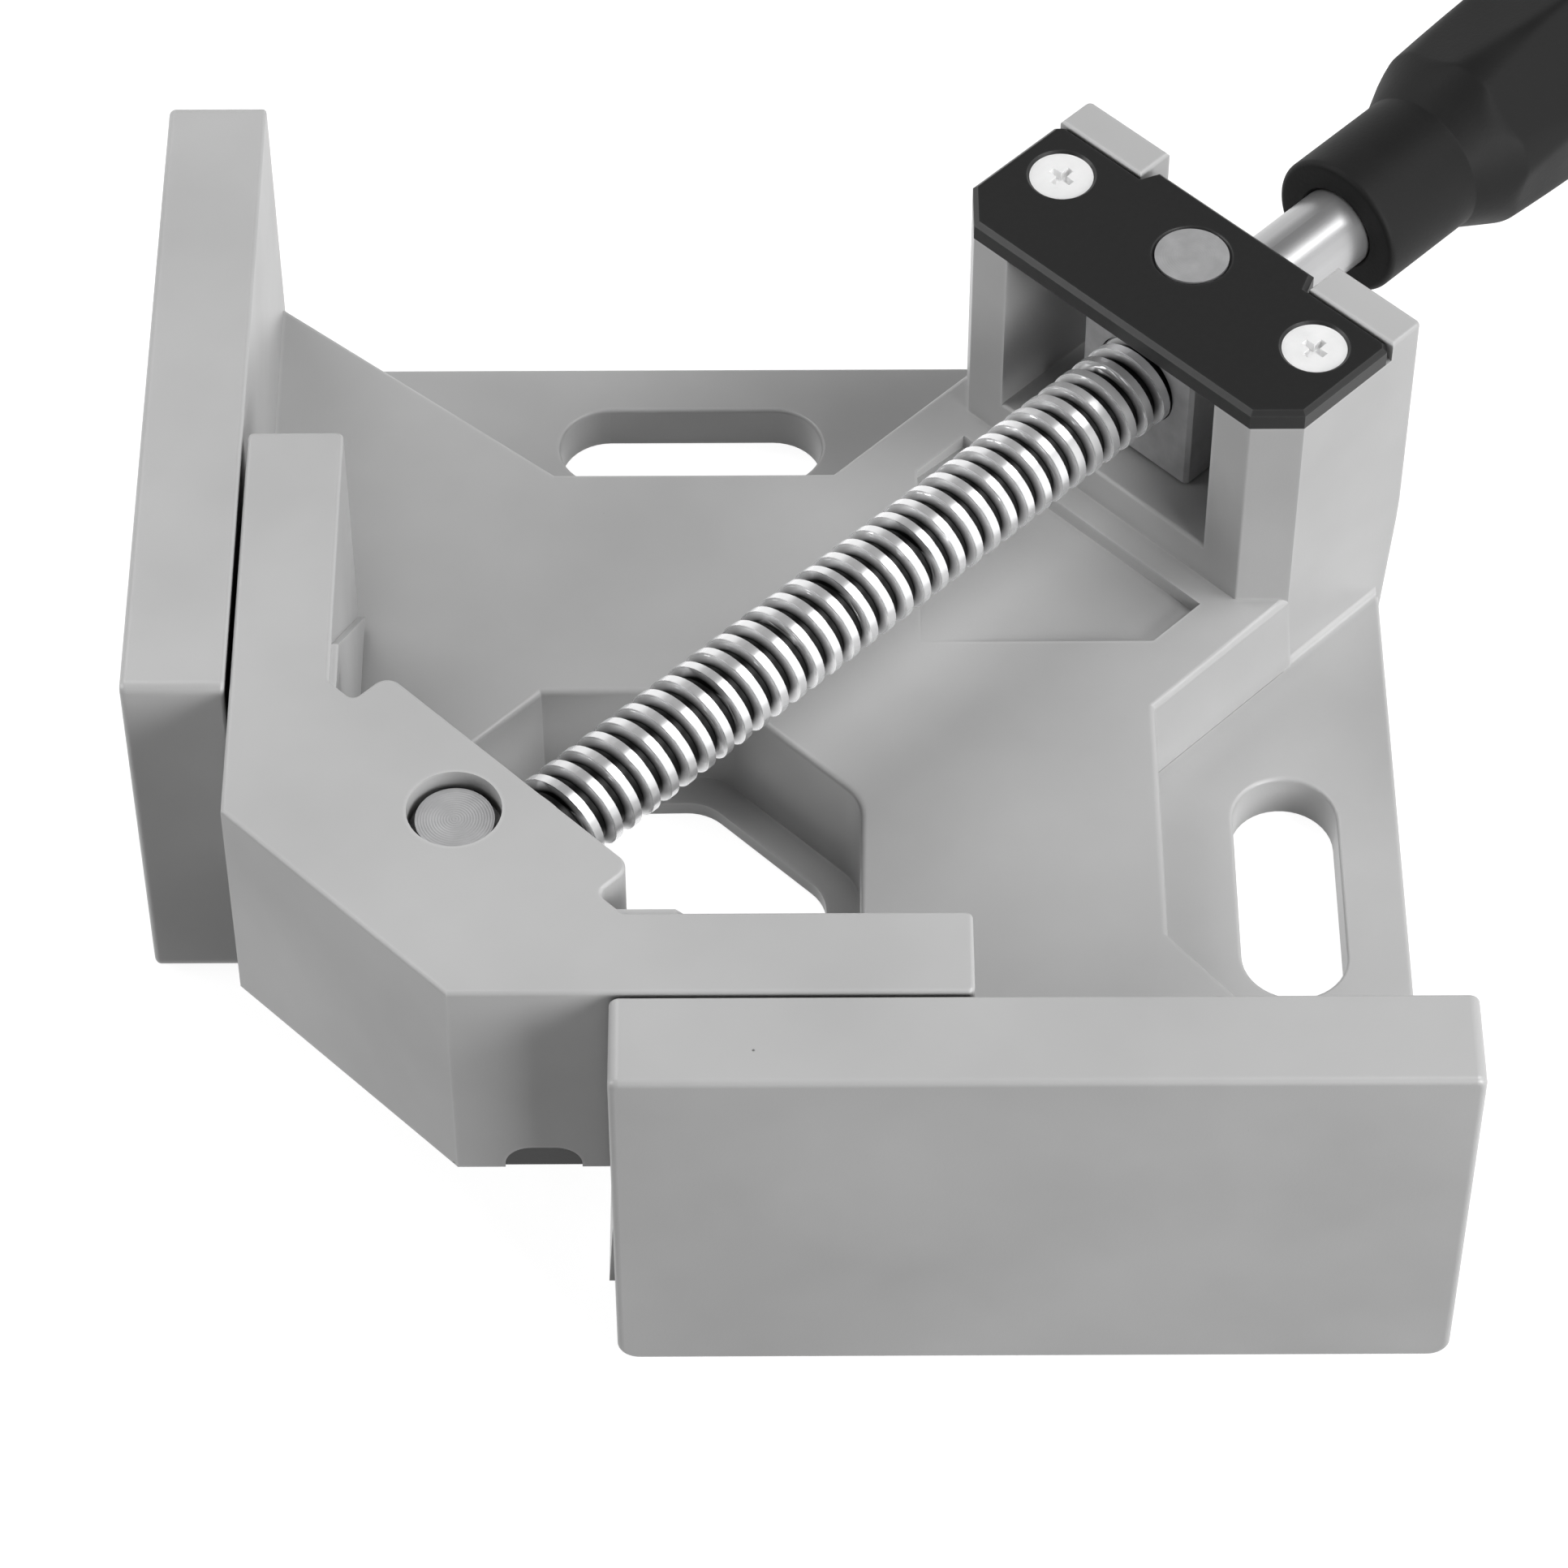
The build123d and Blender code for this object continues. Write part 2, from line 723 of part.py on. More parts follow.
# Moving jaw
with BuildPart() as moving_jaw:
    with BuildSketch(Plane.XY.offset(jaw_underside)):
        with BuildLine():
            Polyline(jaw_nose, *jaw_half, (body_back, 0))
            mirror(about=Plane.XZ)
        make_face()
    extrude(amount=moving_jaw_height)
    arm_corners = [
        edge
        for edge in edges().filter_by(Axis.Z)
        if abs(abs(edge.center().Y) + edge.center().X - arm_reach * sqrt(2)) < pick_slack
    ]
    fillet(arm_corners, arm_end_round)
    fillet(edges_at(edges().filter_by(Axis.Z), Axis.X, body_back), body_round)
    fillet(edges_at(edges().filter_by(Axis.Z), Axis.X, notch_front), notch_round)
    fillet(faces().sort_by(Axis.Z)[-1].outer_wire().edges(), fine_round)

    # Thin sloping web on the inner face of each arm, from the body to the arm's foot
    web_root = notch_front * sqrt(2) - inner_line - 2 * arm_web_thickness
    web_height = moving_jaw_top - fine_round
    arm_inner_face = Plane(
        origin=from_jaws(0, inner_line) + (0,),
        x_dir=(-1, 1, 0),
        z_dir=(1, 1, 0),
    )
    with BuildSketch(arm_inner_face):
        with BuildLine():
            Polyline(
                (-web_root, jaw_underside),
                (-web_root, web_height),
                (-arm_web_top, web_height),
                (-arm_web_foot, jaw_underside),
                close=True,
            )
        make_face()
    web = extrude(amount=arm_web_thickness)
    mirror(web, about=Plane.XZ)

    # Room for the pivot block, open to the back and below
    with BuildSketch(Plane.XY.offset(jaw_underside)):
        with Locations((inside_front, 0)):
            Rectangle(
                inside_back - inside_front,
                2 * inside_half_width,
                align=(Align.MIN, Align.CENTER),
            )
            Rectangle(
                inside_window_back - inside_front,
                2 * inside_window_half_width,
                align=(Align.MIN, Align.CENTER),
            )
    extrude(amount=inside_top - jaw_underside, mode=Mode.SUBTRACT)

    # Bore for the pin, wider at the top
    with Locations((pivot_x, 0, moving_jaw_top)):
        CounterBoreHole(
            radius=pin_radius + running_fit,
            counter_bore_radius=pin_recess_radius,
            counter_bore_depth=pin_recess_depth,
            depth=jaw_head_thickness,
        )

    # Recess for the bottom plate
    with BuildSketch(Plane.XY.offset(jaw_underside)):
        with BuildLine():
            Polyline(jaw_nose, *jaw_half, (body_back, 0))
            mirror(about=Plane.XZ)
        make_face()
        offset(amount=-(plate_inset - plate_clearance), kind=Kind.INTERSECTION)
        with Locations(Location((0, 0, 0), (0, 0, -45))):
            Rectangle(
                plate_reach + plate_clearance,
                plate_reach + plate_clearance,
                align=(Align.MIN, Align.MIN),
                mode=Mode.INTERSECT,
            )
    extrude(amount=plate_upper_face - jaw_underside + small_gap, mode=Mode.SUBTRACT)

    # Arched notch at the foot of each clamping face
    right_face = Plane(
        origin=from_jaws(arch_start + arch_width / 2, closed_gap) + (jaw_underside,),
        x_dir=(1, -1, 0),
        z_dir=(-1, -1, 0),
    )
    with BuildSketch(right_face):
        Rectangle(arch_width, 2 * arch_height)
        fillet(vertices(), arch_round)
    arch = extrude(amount=-arch_depth, mode=Mode.SUBTRACT)
    mirror(arch, about=Plane.XZ, mode=Mode.SUBTRACT)

    # Holes for the bottom plate's screws
    plate_screw_places = [
        from_jaws(plate_screw_x, plate_screw_y),
        from_jaws(plate_screw_y, plate_screw_x),
        (plate_nose_screw, 0),
    ]
    with BuildSketch(Plane.XY.offset(plate_underside)):
        with Locations(*plate_screw_places):
            Circle(plate_screw_radius + seat_fit)
    extrude(amount=plate_screw_length + small_gap, mode=Mode.SUBTRACT)
moving_jaw.part.label = "moving_jaw"

# Bottom plate, which slides over the deck
with BuildPart() as jaw_bottom_plate:
    with BuildSketch(Plane.XY.offset(plate_underside)):
        with BuildLine():
            Polyline(jaw_nose, *jaw_half, (body_back, 0))
            mirror(about=Plane.XZ)
        make_face()
        offset(amount=-plate_inset, kind=Kind.INTERSECTION)
        with Locations(Location((0, 0, 0), (0, 0, -45))):
            Rectangle(
                plate_reach,
                plate_reach,
                align=(Align.MIN, Align.MIN),
                mode=Mode.INTERSECT,
            )
        with Locations((pivot_x, 0)):
            Circle(pin_radius + running_fit, mode=Mode.SUBTRACT)
    extrude(amount=plate_thickness)
    underside = Plane(origin=(0, 0, plate_underside), x_dir=(1, 0, 0), z_dir=(0, 0, -1))
    for place_x, place_y in plate_screw_places:
        with Locations(underside * Location((place_x, -place_y, 0))):
            CounterSinkHole(
                radius=plate_screw_radius + seat_fit,
                counter_sink_radius=plate_screw_head + seat_fit,
                counter_sink_angle=90,
            )
jaw_bottom_plate.part.label = "jaw_bottom_plate"

# The three screws of the bottom plate, driven from below
with BuildPart() as bottom_plate_screws:
    for place_x, place_y in plate_screw_places:
        add(
            cross_screw(
                place_x,
                place_y,
                plate_underside,
                -1,
                plate_screw_length,
                plate_screw_radius,
                plate_screw_head,
            )
        )
bottom_plate_screws.part.label = "bottom_plate_screws"

# The origin goes from the work corner to the middle between the slots, on the underside
for piece in (
    body_casting,
    post_cover_plate,
    cover_plate_screws,
    swivel_nut,
    lead_screw,
    handle_grip,
    jaw_pivot_block,
    screw_retaining_ring,
    screw_thrust_washer,
    moving_jaw,
    jaw_bottom_plate,
    bottom_plate_screws,
):
    piece.part.position = (-corner_to_origin, 0, 0)

os.makedirs("parts", exist_ok=True)
export_step(body_casting.part, "parts/body_casting.step")
export_step(post_cover_plate.part, "parts/post_cover_plate.step")
export_step(cover_plate_screws.part, "parts/cover_plate_screws.step")
export_step(swivel_nut.part, "parts/swivel_nut.step")
export_step(lead_screw.part, "parts/lead_screw.step")
export_step(handle_grip.part, "parts/handle_grip.step")
export_step(jaw_pivot_block.part, "parts/jaw_pivot_block.step")
export_step(screw_retaining_ring.part, "parts/screw_retaining_ring.step")
export_step(screw_thrust_washer.part, "parts/screw_thrust_washer.step")
export_step(moving_jaw.part, "parts/moving_jaw.step")
export_step(jaw_bottom_plate.part, "parts/jaw_bottom_plate.step")
export_step(bottom_plate_screws.part, "parts/bottom_plate_screws.step")
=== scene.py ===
"""The looks of a corner clamp: its finishes, its moulded grip, and a plain white studio.

Lengths are in metres, in the frame's own axes, unless a name ends in mm.
"""

import logging
import math
from dataclasses import dataclass
from enum import Enum

import bmesh
import bpy
from mathutils import Matrix, Vector


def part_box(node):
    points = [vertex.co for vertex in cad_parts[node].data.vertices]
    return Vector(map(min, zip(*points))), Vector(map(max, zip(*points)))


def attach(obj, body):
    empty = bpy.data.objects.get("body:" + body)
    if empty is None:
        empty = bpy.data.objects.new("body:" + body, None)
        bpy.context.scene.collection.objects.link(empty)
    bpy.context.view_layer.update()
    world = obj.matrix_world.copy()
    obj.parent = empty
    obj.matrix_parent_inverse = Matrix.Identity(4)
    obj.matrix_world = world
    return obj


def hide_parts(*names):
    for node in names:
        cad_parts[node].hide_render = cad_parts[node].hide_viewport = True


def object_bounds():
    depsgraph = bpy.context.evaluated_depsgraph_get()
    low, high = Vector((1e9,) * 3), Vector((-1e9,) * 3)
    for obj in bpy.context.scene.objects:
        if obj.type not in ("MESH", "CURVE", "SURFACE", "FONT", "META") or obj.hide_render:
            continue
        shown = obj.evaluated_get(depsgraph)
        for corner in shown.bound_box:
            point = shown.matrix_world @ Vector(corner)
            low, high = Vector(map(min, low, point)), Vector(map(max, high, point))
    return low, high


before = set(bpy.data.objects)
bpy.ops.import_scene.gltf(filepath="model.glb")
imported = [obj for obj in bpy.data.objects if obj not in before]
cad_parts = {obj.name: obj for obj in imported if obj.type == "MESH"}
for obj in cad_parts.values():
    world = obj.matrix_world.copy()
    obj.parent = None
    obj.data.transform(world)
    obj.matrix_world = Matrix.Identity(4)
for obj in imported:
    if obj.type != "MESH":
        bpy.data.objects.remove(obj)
cad_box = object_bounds()

MM = 0.001

# Sockets of the colour mix node, which shares its names among several types
MIX_FACTOR = 0
MIX_A = 6
MIX_B = 7
MIX_COLOUR = 2

# A noise texture's values lie mostly between these two
NOISE_LOW = 0.3
NOISE_HIGH = 0.7

# How like the flat normal the rounded one is where an edge starts to show, and where it shows fully
EDGE_START = 0.995
EDGE_FULL = 0.88

# Rays that feel for edges and gaps, for each sample of the render
FEELERS = 6

log = logging.getLogger("corner_clamp")


class Slot(Enum):
    """The record's material slots that this script names."""

    CASTING = "cast_aluminium"
    BLACK_STEEL = "black_coated_steel"
    ZINC = "zinc_plated_steel"
    CHROME = "chromed_screw_steel"
    PLASTIC = "black_moulded_plastic"


def linear(hex_colour: str) -> tuple[float, float, float, float]:
    """Turn an sRGB hex colour into the linear colour that shaders use.

    Args:
        hex_colour: Six hex digits after a hash.

    Returns:
        Red, green, blue and a full alpha.
    """
    values = [int(hex_colour[place : place + 2], 16) / 255 for place in (1, 3, 5)]
    red, green, blue = (v / 12.92 if v <= 0.04045 else ((v + 0.055) / 1.055) ** 2.4 for v in values)
    return (red, green, blue, 1.0)


def per_metre(width_mm: float) -> float:
    """Give the texture scale whose features are that many millimetres wide."""
    return 1 / (width_mm * MM)


def add_node(
    tree: bpy.types.NodeTree,
    kind: str,
    inputs: dict[str | int, object] | None = None,
    **settings: object,
) -> bpy.types.Node:
    """Add one node, with its settings, values and links.

    Args:
        tree: The node tree that gets the node.
        kind: The node's type.
        inputs: What each input gets, by name or number: a value, or a socket to link from.
        **settings: Properties of the node.

    Returns:
        The new node.
    """
    node = tree.nodes.new(kind)
    for name, value in settings.items():
        setattr(node, name, value)
    for key, value in (inputs or {}).items():
        if isinstance(value, bpy.types.NodeSocket):
            tree.links.new(value, node.inputs[key])
        else:
            node.inputs[key].default_value = value
    return node


def new_material(name: str) -> tuple[bpy.types.Material, bpy.types.NodeTree, bpy.types.NodeSocket]:
    """Make an empty material that starts from the object's own coordinates.

    Args:
        name: The material's name.

    Returns:
        The material, its node tree, and the socket that gives a point's place in metres.
    """
    material = bpy.data.materials.new(name)
    material.use_nodes = True
    material.node_tree.nodes.clear()
    place = add_node(material.node_tree, "ShaderNodeTexCoord").outputs["Object"]
    return material, material.node_tree, place


def close_material(tree: bpy.types.NodeTree, shader: bpy.types.Node) -> None:
    """Link the finished shader to the material's output."""
    add_node(tree, "ShaderNodeOutputMaterial", {"Surface": shader.outputs[0]})


def edge_mask(tree: bpy.types.NodeTree, radius_mm: float) -> bpy.types.NodeSocket:
    """Find the outer and inner edges, where a wider rounding would turn the surface.

    Args:
        tree: The node tree.
        radius_mm: How far from an edge the mask reaches.

    Returns:
        A socket that is 0 on a flat and 1 on an edge.
    """
    rounded = add_node(tree, "ShaderNodeBevel", {"Radius": radius_mm * MM}, samples=FEELERS)
    flat = add_node(tree, "ShaderNodeNewGeometry")
    likeness = add_node(
        tree,
        "ShaderNodeVectorMath",
        {0: rounded.outputs["Normal"], 1: flat.outputs["Normal"]},
        operation="DOT_PRODUCT",
    )
    mask = add_node(
        tree,
        "ShaderNodeMapRange",
        {"Value": likeness.outputs["Value"], "From Min": EDGE_START, "From Max": EDGE_FULL},
    )
    return mask.outputs["Result"]


@dataclass(frozen=True)
class CastAluminium:
    """Die-cast aluminium alloy, tumbled and sprayed with a thin silver lacquer.

    To the eye: a neutral light grey, satin with a soft broad gleam, faint clouds in the tone, a
    grain as fine as flour, edges lighter with a painted highlight and a little wear, and painted
    shade that darkens the narrow gaps and slots. The lacquer hides the metal, so it is hardly
    metallic. The grain is drawn wider than the real 0.1 mm, so that it shows.
    """

    name: str = Slot.CASTING.value
    colour: str = "#BCBCBC"
    # Edge colour: a painted highlight with a little wear
    wear_and_highlight: str = "#D0D0D0"
    pit_colour: str = "#6C6C6C"
    metallic: float = 0.03
    roughness: float = 0.44
    roughness_swing: float = 0.10
    grain_mm: float = 0.35
    grain_depth_mm: float = 0.010
    ripple_mm: float = 9.0
    ripple_depth_mm: float = 0.05
    cloud_mm: float = 28.0
    cloud_swing: float = 0.07
    pit_spacing_mm: float = 6.0
    pit_radius_mm: float = 0.22
    pit_depth_mm: float = 0.05
    pit_share: float = 0.18
    edge_mm: float = 0.9
    edge_share: float = 0.55
    # Painted shade: the colour, reach and occlusion levels of the darkening in narrow gaps and slots
    painted_shade_colour: str = "#2B2B2A"
    painted_shade_mm: float = 6.0
    painted_shade_open: float = 0.45
    painted_shade_shut: float = 0.05
    lacquer: float = 0.4
    lacquer_roughness: float = 0.34

    def material(self) -> bpy.types.Material:
        """Build the material.

        Returns:
            The finished material.
        """
        material, tree, place = new_material(self.name)
        clouds = add_node(
            tree,
            "ShaderNodeTexNoise",
            {"Vector": place, "Scale": per_metre(self.cloud_mm), "Detail": 3.0},
        ).outputs["Fac"]
        tone = add_node(
            tree,
            "ShaderNodeMapRange",
            {
                "Value": clouds,
                "From Min": NOISE_LOW,
                "From Max": NOISE_HIGH,
                "To Min": 1 - self.cloud_swing,
                "To Max": 1 + self.cloud_swing,
            },
        ).outputs["Result"]
        pits = self.pits(tree, place)
        edges = edge_mask(tree, self.edge_mm)
        # Painted highlight with a little wear: the colour lightens along the edges
        wear_and_highlight = add_node(tree, "ShaderNodeMath", {0: edges, 1: self.edge_share}, operation="MULTIPLY")
        edge_wear_and_highlight = add_node(
            tree,
            "ShaderNodeMix",
            {
                MIX_FACTOR: wear_and_highlight.outputs[0],
                MIX_A: linear(self.colour),
                MIX_B: linear(self.wear_and_highlight),
            },
            data_type="RGBA",
        )
        pitted = add_node(
            tree,
            "ShaderNodeMix",
            {MIX_FACTOR: pits, MIX_A: edge_wear_and_highlight.outputs[MIX_COLOUR], MIX_B: linear(self.pit_colour)},
            data_type="RGBA",
        )
        # Painted shade: the colour darkens where narrow gaps and slots hem the surface in
        with_painted_shade = add_node(
            tree,
            "ShaderNodeMix",
            {
                MIX_FACTOR: self.painted_shade(tree),
                MIX_A: pitted.outputs[MIX_COLOUR],
                MIX_B: linear(self.painted_shade_colour),
            },
            data_type="RGBA",
        )
        toned = add_node(
            tree,
            "ShaderNodeVectorMath",
            {0: with_painted_shade.outputs[MIX_COLOUR], "Scale": tone},
            operation="SCALE",
        )
        dullness = add_node(
            tree,
            "ShaderNodeMapRange",
            {
                "Value": clouds,
                "From Min": NOISE_LOW,
                "From Max": NOISE_HIGH,
                "To Min": self.roughness + self.roughness_swing / 2,
                "To Max": self.roughness - self.roughness_swing / 2,
            },
        )
        shader = add_node(
            tree,
            "ShaderNodeBsdfPrincipled",
            {
                "Base Color": toned.outputs["Vector"],
                "Metallic": self.metallic,
                "Roughness": dullness.outputs["Result"],
                "Normal": self.relief(tree, place, pits),
                "Coat Weight": self.lacquer,
                "Coat Roughness": self.lacquer_roughness,
            },
        )
        close_material(tree, shader)
        return material

    def painted_shade(self, tree: bpy.types.NodeTree) -> bpy.types.NodeSocket:
        """Find the narrow gaps and slots, where the colour is darkened as painted shade.

        Args:
            tree: The node tree.

        Returns:
            A socket that is 1 deep in a gap.
        """
        opening = add_node(
            tree,
            "ShaderNodeAmbientOcclusion",
            {"Distance": self.painted_shade_mm * MM},
            samples=FEELERS,
        )
        shade_share = add_node(
            tree,
            "ShaderNodeMapRange",
            {
                "Value": opening.outputs["AO"],
                "From Min": self.painted_shade_open,
                "From Max": self.painted_shade_shut,
            },
        )
        return shade_share.outputs["Result"]

    def pits(self, tree: bpy.types.NodeTree, place: bpy.types.NodeSocket) -> bpy.types.NodeSocket:
        """Scatter the few small pits that gas leaves in a casting.

        Args:
            tree: The node tree.
            place: The point's place.

        Returns:
            A socket that is 1 in a pit.
        """
        cells = add_node(
            tree,
            "ShaderNodeTexVoronoi",
            {"Vector": place, "Scale": per_metre(self.pit_spacing_mm)},
        )
        radius = self.pit_radius_mm / self.pit_spacing_mm
        inside = add_node(
            tree,
            "ShaderNodeMapRange",
            {"Value": cells.outputs["Distance"], "From Min": radius, "From Max": radius / 2},
        )
        chosen = add_node(
            tree,
            "ShaderNodeMath",
            {0: cells.outputs["Color"], 1: self.pit_share},
            operation="LESS_THAN",
        )
        both = add_node(
            tree,
            "ShaderNodeMath",
            {0: inside.outputs["Result"], 1: chosen.outputs[0]},
            operation="MULTIPLY",
        )
        return both.outputs[0]

    def relief(
        self, tree: bpy.types.NodeTree, place: bpy.types.NodeSocket, pits: bpy.types.NodeSocket
    ) -> bpy.types.NodeSocket:
        """Lay the tumbled grain, the slow ripple of the mould, and the pits over each other.

        Args:
            tree: The node tree.
            place: The point's place.
            pits: The mask of the pits.

        Returns:
            The normal.
        """
        normal = None
        for width, depth in (
            (self.ripple_mm, self.ripple_depth_mm),
            (self.grain_mm, self.grain_depth_mm),
        ):
            height = add_node(
                tree,
                "ShaderNodeTexNoise",
                {"Vector": place, "Scale": per_metre(width), "Detail": 1.0},
            ).outputs["Fac"]
            inputs = {"Height": height, "Distance": depth * MM, "Strength": 1.0}
            if normal is not None:
                inputs["Normal"] = normal
            normal = add_node(tree, "ShaderNodeBump", inputs).outputs["Normal"]
        pitted = add_node(
            tree,
            "ShaderNodeBump",
            {"Height": pits, "Distance": self.pit_depth_mm * MM, "Strength": 1.0, "Normal": normal},
            invert=True,
        )
        return pitted.outputs["Normal"]


@dataclass(frozen=True)
class BlackCoatedSteel:
    """Punched steel plate with a baked black coat.

    To the eye: near black, satin, with a faint orange peel, and a thin grey painted highlight on its
    edges.
    """

    name: str = Slot.BLACK_STEEL.value
    colour: str = "#121212"
    # Painted highlight: the grey that the edges lighten to
    edge_highlight_colour: str = "#2E2E2E"
    roughness: float = 0.42
    peel_mm: float = 1.1
    peel_depth_mm: float = 0.012
    edge_mm: float = 0.5
    speck_mm: float = 0.5
    speck_swing: float = 0.12

    def material(self) -> bpy.types.Material:
        """Build the material.

        Returns:
            The finished material.
        """
        material, tree, place = new_material(self.name)
        # Painted highlight: the colour lightens to grey along the edges
        highlighted = add_node(
            tree,
            "ShaderNodeMix",
            {
                MIX_FACTOR: edge_mask(tree, self.edge_mm),
                MIX_A: linear(self.colour),
                MIX_B: linear(self.edge_highlight_colour),
            },
            data_type="RGBA",
        )
        specks = add_node(
            tree,
            "ShaderNodeTexNoise",
            {"Vector": place, "Scale": per_metre(self.speck_mm), "Detail": 2.0},
        ).outputs["Fac"]
        tone = add_node(
            tree,
            "ShaderNodeMapRange",
            {
                "Value": specks,
                "From Min": NOISE_LOW,
                "From Max": NOISE_HIGH,
                "To Min": 1 - self.speck_swing,
                "To Max": 1 + self.speck_swing,
            },
        )
        toned = add_node(
            tree,
            "ShaderNodeVectorMath",
            {0: highlighted.outputs[MIX_COLOUR], "Scale": tone.outputs["Result"]},
            operation="SCALE",
        )
        peel = add_node(
            tree,
            "ShaderNodeTexNoise",
            {"Vector": place, "Scale": per_metre(self.peel_mm), "Detail": 1.0},
        ).outputs["Fac"]
        bump = add_node(
            tree,
            "ShaderNodeBump",
            {"Height": peel, "Distance": self.peel_depth_mm * MM, "Strength": 1.0},
        )
        shader = add_node(
            tree,
            "ShaderNodeBsdfPrincipled",
            {
                "Base Color": toned.outputs["Vector"],
                "Roughness": self.roughness,
                "Normal": bump.outputs["Normal"],
            },
        )
        close_material(tree, shader)
        return material


@dataclass(frozen=True)
class TurnedSteel:
    """Steel faced on a lathe, so that fine rings run round an upright axis.

    To the eye: a mid grey with a silky sheen that turns with the rings, and faint stains. The
    rings are drawn wider than the real 0.1 mm feed, which would be too fine to show.
    """

    name: str
    axis_x: float
    axis_y: float = 0.0
    colour: str = "#B4B4B5"
    metallic: float = 0.55
    roughness: float = 0.48
    ring_mm: float = 0.32
    ring_depth_mm: float = 0.004
    stain_mm: float = 2.6
    stain_swing: float = 0.10

    def material(self) -> bpy.types.Material:
        """Build the material; a pair of equal axes, one each side of the screw, share one material.

        Returns:
            The finished material.
        """
        material, tree, place = new_material(self.name)
        parts = add_node(tree, "ShaderNodeSeparateXYZ", {0: place})
        side = add_node(tree, "ShaderNodeMath", {0: parts.outputs["Y"]}, operation="ABSOLUTE")
        flat_place = add_node(
            tree, "ShaderNodeCombineXYZ", {"X": parts.outputs["X"], "Y": side.outputs[0]}
        )
        distance = add_node(
            tree,
            "ShaderNodeVectorMath",
            {0: flat_place.outputs[0], 1: (self.axis_x, self.axis_y, 0.0)},
            operation="DISTANCE",
        ).outputs["Value"]
        turns = add_node(
            tree,
            "ShaderNodeMath",
            {0: distance, 1: 2 * math.pi * per_metre(self.ring_mm)},
            operation="MULTIPLY",
        )
        rings = add_node(tree, "ShaderNodeMath", {0: turns.outputs[0]}, operation="SINE")
        stains = add_node(
            tree,
            "ShaderNodeTexNoise",
            {"Vector": place, "Scale": per_metre(self.stain_mm), "Detail": 4.0},
        ).outputs["Fac"]
        tone = add_node(
            tree,
            "ShaderNodeMapRange",
            {
                "Value": stains,
                "From Min": NOISE_LOW,
                "From Max": NOISE_HIGH,
                "To Min": 1 - self.stain_swing,
                "To Max": 1 + self.stain_swing,
            },
        )
        toned = add_node(
            tree,
            "ShaderNodeVectorMath",
            {0: linear(self.colour)[:3], "Scale": tone.outputs["Result"]},
            operation="SCALE",
        )
        bump = add_node(
            tree,
            "ShaderNodeBump",
            {"Height": rings.outputs[0], "Distance": self.ring_depth_mm * MM, "Strength": 1.0},
        )
        shader = add_node(
            tree,
            "ShaderNodeBsdfPrincipled",
            {
                "Base Color": toned.outputs["Vector"],
                "Metallic": self.metallic,
                "Roughness": self.roughness,
                "Normal": bump.outputs["Normal"],
            },
        )
        close_material(tree, shader)
        return material


@dataclass(frozen=True)
class PlatedScrew:
    """Rolled and bright plated steel, with painted shade darkening the thread's root.

    To the eye: near-white and hazily mirror-like on the crests, black with painted shade in the
    grooves, and hairlines round the shank. The haze of handling takes a part of the metallic share.
    The hairlines are drawn wider than real ones, so that they show.
    """

    name: str
    axis_height: float
    root_mm: float
    crest_mm: float
    colour: str = "#F6F6F7"
    # Painted shade: the colour that the thread's root darkens to
    groove_shade_colour: str = "#141414"
    metallic: float = 0.7
    roughness: float = 0.27
    groove_roughness: float = 0.35
    hairline_mm: float = 0.25
    hairline_depth_mm: float = 0.0012
    hairline_stretch: float = 24.0

    def material(self) -> bpy.types.Material:
        """Build the material.

        Returns:
            The finished material.
        """
        material, tree, place = new_material(self.name)
        from_axis = add_node(
            tree,
            "ShaderNodeVectorMath",
            {0: place, 1: (0.0, 0.0, self.axis_height)},
            operation="SUBTRACT",
        )
        across = add_node(
            tree,
            "ShaderNodeVectorMath",
            {0: from_axis.outputs["Vector"], 1: (0.0, 1.0, 1.0)},
            operation="MULTIPLY",
        )
        radius = add_node(
            tree, "ShaderNodeVectorMath", {0: across.outputs["Vector"]}, operation="LENGTH"
        )
        groove_shade = add_node(
            tree,
            "ShaderNodeMapRange",
            {
                "Value": radius.outputs["Value"],
                "From Min": self.root_mm * MM,
                "From Max": self.crest_mm * MM,
                "To Min": 1.0,
                "To Max": 0.0,
            },
        ).outputs["Result"]
        # Painted shade: the colour darkens towards the thread's root
        tint = add_node(
            tree,
            "ShaderNodeMix",
            {MIX_FACTOR: groove_shade, MIX_A: linear(self.colour), MIX_B: linear(self.groove_shade_colour)},
            data_type="RGBA",
        )
        dullness = add_node(
            tree,
            "ShaderNodeMapRange",
            {"Value": groove_shade, "To Min": self.roughness, "To Max": self.groove_roughness},
        )
        stretched = add_node(
            tree,
            "ShaderNodeVectorMath",
            {0: place, 1: (1.0, 1 / self.hairline_stretch, 1 / self.hairline_stretch)},
            operation="MULTIPLY",
        )
        hairlines = add_node(
            tree,
            "ShaderNodeTexNoise",
            {"Vector": stretched.outputs["Vector"], "Scale": per_metre(self.hairline_mm), "Detail": 2.0},
        ).outputs["Fac"]
        bump = add_node(
            tree,
            "ShaderNodeBump",
            {"Height": hairlines, "Distance": self.hairline_depth_mm * MM, "Strength": 1.0},
        )
        shader = add_node(
            tree,
            "ShaderNodeBsdfPrincipled",
            {
                "Base Color": tint.outputs[MIX_COLOUR],
                "Metallic": self.metallic,
                "Roughness": dullness.outputs["Result"],
                "Normal": bump.outputs["Normal"],
            },
        )
        close_material(tree, shader)
        return material


